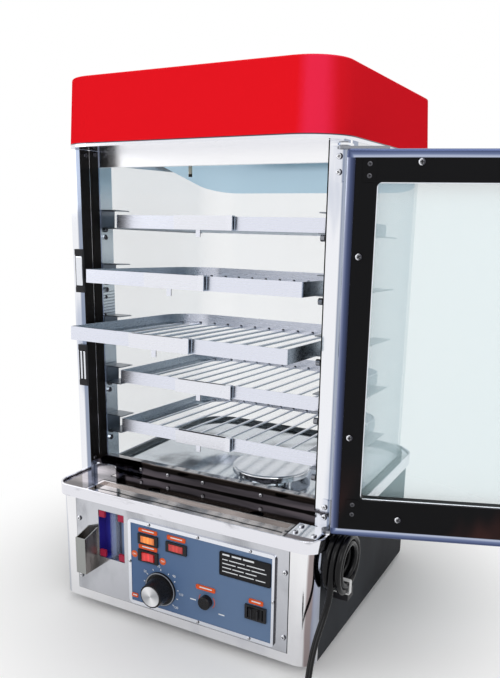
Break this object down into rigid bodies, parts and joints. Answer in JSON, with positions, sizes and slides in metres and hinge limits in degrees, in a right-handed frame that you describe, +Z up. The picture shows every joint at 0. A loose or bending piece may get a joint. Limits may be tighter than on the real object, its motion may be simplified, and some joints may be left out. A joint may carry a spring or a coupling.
{
  "type": "food steamer display case",
  "caption": "Countertop steamer cabinet with bent glass, a framed glass door, pull-out wire racks, a red hood and a steam base with dial, lamps and switches.",
  "frame": {"origin": "middle of the base's footprint on the table, under the feet", "axes": "+X to the right seen from the front, +Y to the back, +Z up"},
  "size_m": [0.6982, 0.5468, 0.651],
  "materials": {
    "foot_rubber": "matt",
    "seal_rubber": "satin",
    "polished_steel": "polished",
    "satin_steel": "satin",
    "dark_side": "polished, dark",
    "hood_red": "gloss",
    "bent_glass": "clear",
    "door_pane": "clear",
    "gauge_pane": "clear",
    "liner_black": "satin",
    "switch_black": "satin",
    "panel_blue": "satin",
    "panel_field": "satin",
    "window_blue": "gloss",
    "orange_lens": "gloss",
    "red_lens": "gloss",
    "red_rocker": "gloss",
    "black_rocker": "satin",
    "dial_black": "satin",
    "dial_cap": "satin",
    "lead_black": "satin",
    "tie_white": "satin",
    "element_metal": "heat tinted"
  },
  "bodies": {
    "case": {"rubber_feet": "foot_rubber", "bottom_pan": "satin_steel", "front_wrap": "polished_steel", "rear_wrap": "dark_side", "base_band": "polished_steel", "deck_plate": "satin_steel", "threshold_plate": "satin_steel", "sill_rail": "satin_steel", "water_tank": "satin_steel", "heating_element": "element_metal", "door_posts": "polished_steel", "header_rail": "satin_steel", "rubber_seals": "seal_rubber", "uprights": "satin_steel", "glass_surround": "bent_glass", "top_frame": "satin_steel", "hood_base": "satin_steel", "hood": "hood_red", "ceiling_plate": "satin_steel", "probe_stem": "satin_steel", "rack_brackets": "satin_steel", "hinge_brackets": "satin_steel", "door_catches": "switch_black", "front_panel": "panel_field", "control_bezel": "polished_steel", "control_plate": "panel_blue", "case_screws": "satin_steel", "lamp_frames": "switch_black", "orange_lens": "orange_lens", "red_lens": "red_lens", "switch_housings": "switch_black", "control_bodies": "switch_black", "window_tray": "window_blue", "gauge_glass": "gauge_pane", "filler_chute": "satin_steel", "cord_gland": "lead_black", "cord_tube": "lead_black", "cord_hank": "lead_black", "cord_tie": "tie_white", "mains_plug": "lead_black"},
    "drip_tray_lift_out": {"drip_tray": "satin_steel"},
    "steam_cap": {"steam_dome": "satin_steel"},
    "thermostat_dial": {"dial_knob": "dial_black", "dial_cap": "dial_cap"},
    "timer_knob": {"small_knob": "dial_black"},
    "power_switch": {"power_rocker": "red_rocker"},
    "light_switch": {"light_rocker": "black_rocker"},
    "pins": {"hinge_pins": "satin_steel"},
    "door": {"door_frame": "polished_steel", "door_glass": "door_pane", "door_liner": "liner_black", "door_screws": "polished_steel", "door_handle": "polished_steel", "pivot_plates": "satin_steel", "strikers": "satin_steel"},
    "rack_body_1": {"rack_1": "satin_steel"},
    "rack_body_2": {"rack_2": "satin_steel"},
    "rack_body_3": {"rack_3": "satin_steel"},
    "rack_body_4": {"rack_4": "satin_steel"},
    "rack_body_5": {"rack_5": "satin_steel"}
  },
  "joints": [
    {"name": "hinge_pins_turn", "type": "hinge", "parent": "case", "child": "pins", "pos_m": [0.17957, -0.1608, 0], "axis": [0, 0, 1], "range_deg": [-60.46, 0]},
    {"name": "door_hinge", "type": "hinge", "parent": "pins", "child": "door", "pos_m": [0.17957, -0.1608, 0], "axis": [0, 0, 1], "range_deg": [-140, 0]},
    {"name": "rack_1_slide", "type": "slide", "parent": "case", "child": "rack_body_1", "axis": [0, -0.999, 0.0436], "range_m": [0, 0.14]},
    {"name": "rack_2_slide", "type": "slide", "parent": "case", "child": "rack_body_2", "axis": [0, -0.999, 0.0436], "range_m": [-0.062, 0.078]},
    {"name": "rack_3_slide", "type": "slide", "parent": "case", "child": "rack_body_3", "axis": [0, -0.999, 0.0436], "range_m": [-0.093, 0.047]},
    {"name": "rack_4_slide", "type": "slide", "parent": "case", "child": "rack_body_4", "axis": [0, -0.999, 0.0436], "range_m": [0, 0.14]},
    {"name": "rack_5_slide", "type": "slide", "parent": "case", "child": "rack_body_5", "axis": [0, -0.999, 0.0436], "range_m": [0, 0.14]},
    {"name": "drip_tray_lift", "type": "slide", "parent": "case", "child": "drip_tray_lift_out", "axis": [0, 0, 1], "range_m": [0, 0.04]},
    {"name": "steam_cap_lift", "type": "slide", "parent": "case", "child": "steam_cap", "axis": [0, 0, 1], "range_m": [0, 0.03]},
    {"name": "thermostat_turn", "type": "hinge", "parent": "case", "child": "thermostat_dial", "pos_m": [-0.019, -0.192, 0.058], "axis": [0, 1, 0], "range_deg": [0, 270]},
    {"name": "timer_turn", "type": "hinge", "parent": "case", "child": "timer_knob", "pos_m": [0.046, -0.192, 0.06], "axis": [0, 1, 0], "range_deg": [0, 270]},
    {"name": "power_rock", "type": "hinge", "parent": "case", "child": "power_switch", "pos_m": [-0.0365, -0.1905, 0.096], "axis": [0, 0, 1], "range_deg": [-14, 0]},
    {"name": "light_rock", "type": "hinge", "parent": "case", "child": "light_switch", "pos_m": [0.1109, -0.1905, 0.0637], "axis": [0, 0, 1], "range_deg": [-14, 0]}
  ]
}
